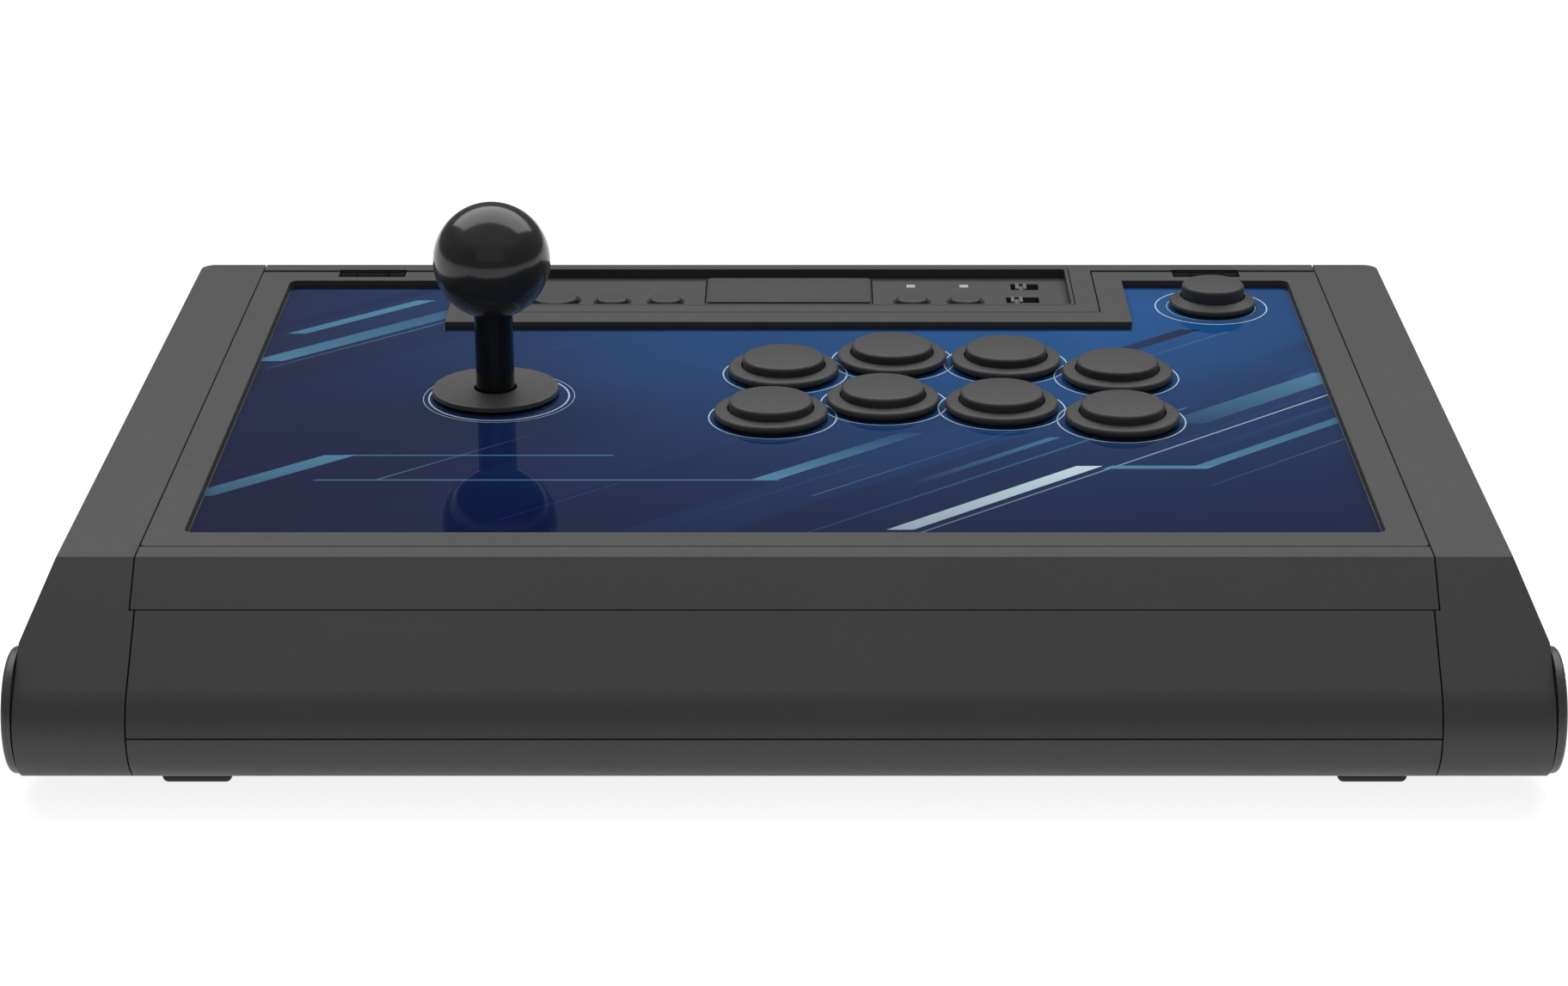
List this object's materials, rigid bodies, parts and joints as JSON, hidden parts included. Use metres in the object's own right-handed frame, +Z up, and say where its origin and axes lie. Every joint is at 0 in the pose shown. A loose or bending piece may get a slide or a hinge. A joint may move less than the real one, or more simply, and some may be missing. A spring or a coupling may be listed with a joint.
{
  "type": "arcade joystick panel",
  "caption": "Low desktop arcade panel with a ball-top tilt stick, round push buttons, a small console tray and a hinged lid that opens up from the front.",
  "frame": {"origin": "centre of the footprint at floor level, under the rubber feet", "axes": "+X to the player's right along the long side, +Y away from the player, +Z up"},
  "size_m": [0.4106, 0.2977, 0.1153],
  "materials": {
    "shell": "fine matte texture",
    "trim": "satin",
    "rubber": "matte",
    "steel": "zinc plated",
    "hinge_black": "black zinc",
    "shaft_steel": "polished",
    "board": "solder mask",
    "light_part": "natural nylon",
    "switch_black": "moulded",
    "lamp": "diffuse white",
    "artwork": "printed blue pattern of plain slanted streaks",
    "clear": "clear acrylic, glossy",
    "button_plastic": "matte moulded",
    "ball_plastic": "high gloss",
    "sleeve_plastic": "gloss",
    "washer_plastic": "satin",
    "gate_plastic": "clear moulded"
  },
  "bodies": {
    "base": {"base_shell": "shell", "rubber_feet": "rubber", "base_screws": "steel", "lower_front_fascia": "shell", "upper_front_fascia": "shell", "left_side_housing": "shell", "right_side_housing": "shell", "end_rings": "trim", "rear_housing": "shell", "console_tray": "shell", "status_leds": "lamp", "control_board": "board", "board_switches": "light_part", "usb_port": "steel", "headset_jack": "switch_black", "hinge_brackets": "hinge_black", "hinge_pins": "hinge_black", "release_springs": "steel"},
    "left_release": {"left_release_button": "trim"},
    "right_release": {"right_release_button": "trim"},
    "home_key": {"home_button": "button_plastic"},
    "key_1": {"console_button_1": "button_plastic"},
    "key_2": {"console_button_2": "button_plastic"},
    "key_3": {"console_button_3": "button_plastic"},
    "key_4": {"console_button_4": "button_plastic"},
    "pad": {"touch_pad": "button_plastic"},
    "mode_knob": {"mode_switch_knob": "light_part"},
    "lock_knob": {"lock_switch_knob": "light_part"},
    "lid": {"lid_frame": "shell", "mounting_plate": "steel", "art_sheet": "artwork", "clear_cover": "clear", "lid_hinge_arms": "hinge_black", "lid_catches": "steel", "lid_screws": "steel", "button_bodies": "button_plastic", "button_switches": "switch_black", "option_button_body": "button_plastic", "stick_bracket": "steel", "stick_housing": "switch_black", "stick_microswitches": "switch_black", "restrictor_gate": "gate_plastic"},
    "push_1": {"plunger_1": "button_plastic"},
    "push_2": {"plunger_2": "button_plastic"},
    "push_3": {"plunger_3": "button_plastic"},
    "push_4": {"plunger_4": "button_plastic"},
    "push_5": {"plunger_5": "button_plastic"},
    "push_6": {"plunger_6": "button_plastic"},
    "push_7": {"plunger_7": "button_plastic"},
    "push_8": {"plunger_8": "button_plastic"},
    "option_push": {"option_plunger": "button_plastic"},
    "gimbal": {"gimbal_ring": "light_part"},
    "stick": {"stick_shaft": "shaft_steel", "stick_pivot": "light_part", "actuator": "light_part", "stick_spring": "steel", "shaft_cover": "sleeve_plastic", "ball_top": "ball_plastic"},
    "glide": {"slip_ring": "switch_black"},
    "washer": {"dust_washer": "washer_plastic"}
  },
  "joints": [
    {"name": "lid_hinge", "type": "hinge", "parent": "base", "child": "lid", "pos_m": [0, 0.1398, 0.0552], "axis": [-1, 0, 0], "range_deg": [0, 70]},
    {"name": "stick_fore_aft", "type": "hinge", "parent": "lid", "child": "gimbal", "pos_m": [-0.08805, 0.02475, 0.034], "axis": [1, 0, 0], "range_deg": [-9, 9], "stiffness_Nm_per_rad": 1.5, "deforming": ["stick_spring"]},
    {"name": "stick_left_right", "type": "hinge", "parent": "gimbal", "child": "stick", "pos_m": [-0.08805, 0.02475, 0.034], "axis": [0, 1, 0], "range_deg": [-9, 9], "stiffness_Nm_per_rad": 1.5, "deforming": ["stick_spring"]},
    {"name": "washer_left_right", "type": "slide", "parent": "lid", "child": "glide", "axis": [1, 0, 0], "range_m": [-0.0038, 0.0038]},
    {"name": "washer_fore_aft", "type": "slide", "parent": "glide", "child": "washer", "axis": [0, 1, 0], "range_m": [-0.0038, 0.0038]},
    {"name": "press_1", "type": "slide", "parent": "lid", "child": "push_1", "axis": [0, 0, -1], "range_m": [0, 0.0032], "stiffness_N_per_m": 150, "springref_m": -0.004},
    {"name": "press_2", "type": "slide", "parent": "lid", "child": "push_2", "axis": [0, 0, -1], "range_m": [0, 0.0032], "stiffness_N_per_m": 150, "springref_m": -0.004},
    {"name": "press_3", "type": "slide", "parent": "lid", "child": "push_3", "axis": [0, 0, -1], "range_m": [0, 0.0032], "stiffness_N_per_m": 150, "springref_m": -0.004},
    {"name": "press_4", "type": "slide", "parent": "lid", "child": "push_4", "axis": [0, 0, -1], "range_m": [0, 0.0032], "stiffness_N_per_m": 150, "springref_m": -0.004},
    {"name": "press_5", "type": "slide", "parent": "lid", "child": "push_5", "axis": [0, 0, -1], "range_m": [0, 0.0032], "stiffness_N_per_m": 150, "springref_m": -0.004},
    {"name": "press_6", "type": "slide", "parent": "lid", "child": "push_6", "axis": [0, 0, -1], "range_m": [0, 0.0032], "stiffness_N_per_m": 150, "springref_m": -0.004},
    {"name": "press_7", "type": "slide", "parent": "lid", "child": "push_7", "axis": [0, 0, -1], "range_m": [0, 0.0032], "stiffness_N_per_m": 150, "springref_m": -0.004},
    {"name": "press_8", "type": "slide", "parent": "lid", "child": "push_8", "axis": [0, 0, -1], "range_m": [0, 0.0032], "stiffness_N_per_m": 150, "springref_m": -0.004},
    {"name": "option_press", "type": "slide", "parent": "lid", "child": "option_push", "axis": [0, 0, -1], "range_m": [0, 0.0032], "stiffness_N_per_m": 150, "springref_m": -0.004},
    {"name": "home_press", "type": "slide", "parent": "base", "child": "home_key", "axis": [0, 0, -1], "range_m": [0, 0.0008], "stiffness_N_per_m": 600, "springref_m": -0.001},
    {"name": "key_press_1", "type": "slide", "parent": "base", "child": "key_1", "axis": [0, 0, -1], "range_m": [0, 0.0008], "stiffness_N_per_m": 600, "springref_m": -0.001},
    {"name": "key_press_2", "type": "slide", "parent": "base", "child": "key_2", "axis": [0, 0, -1], "range_m": [0, 0.0008], "stiffness_N_per_m": 600, "springref_m": -0.001},
    {"name": "key_press_3", "type": "slide", "parent": "base", "child": "key_3", "axis": [0, 0, -1], "range_m": [0, 0.0008], "stiffness_N_per_m": 600, "springref_m": -0.001},
    {"name": "key_press_4", "type": "slide", "parent": "base", "child": "key_4", "axis": [0, 0, -1], "range_m": [0, 0.0008], "stiffness_N_per_m": 600, "springref_m": -0.001},
    {"name": "pad_press", "type": "slide", "parent": "base", "child": "pad", "axis": [0, 0, -1], "range_m": [0, 0.0005], "stiffness_N_per_m": 1500, "springref_m": -0.001},
    {"name": "mode_slide", "type": "slide", "parent": "base", "child": "mode_knob", "axis": [1, 0, 0], "range_m": [0, 0.0038]},
    {"name": "lock_slide", "type": "slide", "parent": "base", "child": "lock_knob", "axis": [1, 0, 0], "range_m": [0, 0.0024]},
    {"name": "left_release_press", "type": "slide", "parent": "base", "child": "left_release", "axis": [1, 0, 0], "range_m": [0, 0.0025], "stiffness_N_per_m": 400, "springref_m": -0.004, "deforming": ["release_springs"]},
    {"name": "right_release_press", "type": "slide", "parent": "base", "child": "right_release", "axis": [-1, 0, 0], "range_m": [0, 0.0025], "stiffness_N_per_m": 400, "springref_m": -0.004, "deforming": ["release_springs"]}
  ],
  "couplings": [
    {"joint": "washer_left_right", "follows": "stick_left_right", "m_per_rad": 0.02305},
    {"joint": "washer_fore_aft", "follows": "stick_fore_aft", "m_per_rad": -0.02305}
  ]
}
